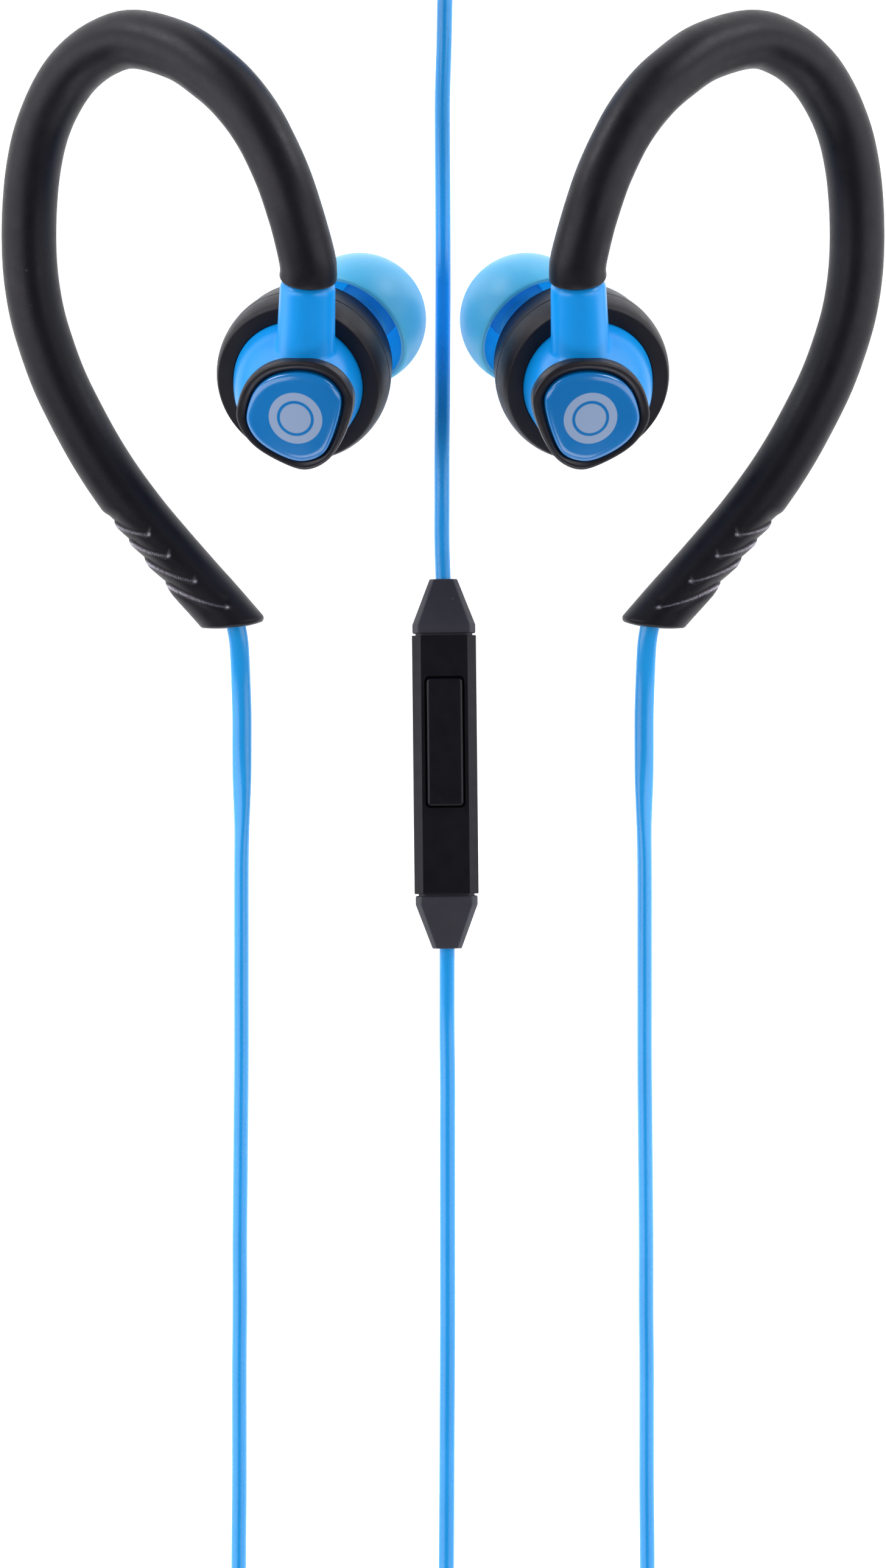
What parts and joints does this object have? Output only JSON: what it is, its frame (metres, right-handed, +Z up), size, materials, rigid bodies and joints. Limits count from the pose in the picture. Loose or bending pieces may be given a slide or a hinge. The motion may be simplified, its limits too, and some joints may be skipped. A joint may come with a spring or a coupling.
{
  "type": "wired in-ear earphones",
  "caption": "Wired sport earphones with over-ear hooks, silicone ear tips, cords, an in-line one-button remote, a Y-split and a 3.5 mm plug",
  "frame": {"origin": "centre of the bottom of the two earpieces with their hooks, on the table they lie on, midway between them", "axes": "+X from the left hook to the right hook as seen from above, +Y from the cord ends of the hooks toward their crowns, +Z up from the table"},
  "size_m": [0.087, 0.2521, 0.0264],
  "materials": {
    "rubber_black": "satin",
    "plastic_black": "matte",
    "plastic_blue": "satin",
    "cap_blue": "gloss",
    "silicone_blue": "translucent",
    "cord_blue": "satin",
    "steel": "satin",
    "contact_gold": "polished",
    "board_green": "matte",
    "film_amber": "clear"
  },
  "bodies": {
    "set": {"left_hook_sleeve_mid": "rubber_black", "left_hook_sleeve_rear": "rubber_black", "left_hook_wire": "steel", "left_hook_cable": "cord_blue", "right_hook_sleeve_mid": "rubber_black", "right_hook_sleeve_rear": "rubber_black", "right_hook_wire": "steel", "right_hook_cable": "cord_blue", "remote_front_shell": "plastic_black", "remote_back_shell": "plastic_black", "remote_pcb": "board_green", "remote_switch": "steel", "remote_mic": "steel", "remote_boot_top": "rubber_black", "remote_boot_bottom": "rubber_black", "y_split": "rubber_black", "left_ear_cord": "cord_blue", "left_ear_coil": "cord_blue", "left_ear_tail": "cord_blue", "right_ear_cord": "cord_blue", "right_ear_coil": "cord_blue", "right_ear_tail": "cord_blue", "left_coil_tie": "rubber_black", "right_coil_tie": "rubber_black", "main_cord_lower": "cord_blue", "main_cord_upper": "cord_blue", "main_coil": "cord_blue", "main_coil_tie": "rubber_black", "main_tail": "cord_blue", "plug_relief": "rubber_black", "plug_grip": "plastic_black", "plug_insulator": "plastic_black", "plug_sleeve_contact": "contact_gold", "plug_ring_two": "contact_gold", "plug_ring_one": "contact_gold", "plug_tip_contact": "contact_gold"},
    "left_earpiece": {"left_hook_sleeve_front": "rubber_black", "left_outer_shell": "plastic_blue", "left_cap_bezel": "plastic_black", "left_cap": "cap_blue", "left_collar": "plastic_black", "left_rear_shell": "plastic_black", "left_nozzle": "plastic_blue", "left_driver": "steel", "left_diaphragm": "film_amber", "left_nozzle_mesh": "steel", "left_eartip": "silicone_blue"},
    "right_earpiece": {"right_hook_sleeve_front": "rubber_black", "right_outer_shell": "plastic_blue", "right_cap_bezel": "plastic_black", "right_cap": "cap_blue", "right_collar": "plastic_black", "right_rear_shell": "plastic_black", "right_nozzle": "plastic_blue", "right_driver": "steel", "right_diaphragm": "film_amber", "right_nozzle_mesh": "steel", "right_eartip": "silicone_blue"},
    "remote_button": {"remote_button": "plastic_black"}
  },
  "joints": [
    {"name": "left_hook_flex", "type": "hinge", "parent": "set", "child": "left_earpiece", "pos_m": [-0.02405, 0.0244, 0.0175], "axis": [-1, 0, 0], "range_deg": [0, 25], "stiffness_Nm_per_rad": 0.08, "deforming": ["left_hook_sleeve_mid", "left_hook_wire", "left_hook_cable"]},
    {"name": "right_hook_flex", "type": "hinge", "parent": "set", "child": "right_earpiece", "pos_m": [0.02405, 0.0244, 0.0175], "axis": [-1, 0, 0], "range_deg": [0, 25], "stiffness_Nm_per_rad": 0.08, "deforming": ["right_hook_sleeve_mid", "right_hook_wire", "right_hook_cable"]},
    {"name": "remote_press", "type": "slide", "parent": "set", "child": "remote_button", "axis": [0, 0, -1], "range_m": [0, 0.0004], "stiffness_N_per_m": 600, "springref_m": -0.001}
  ]
}
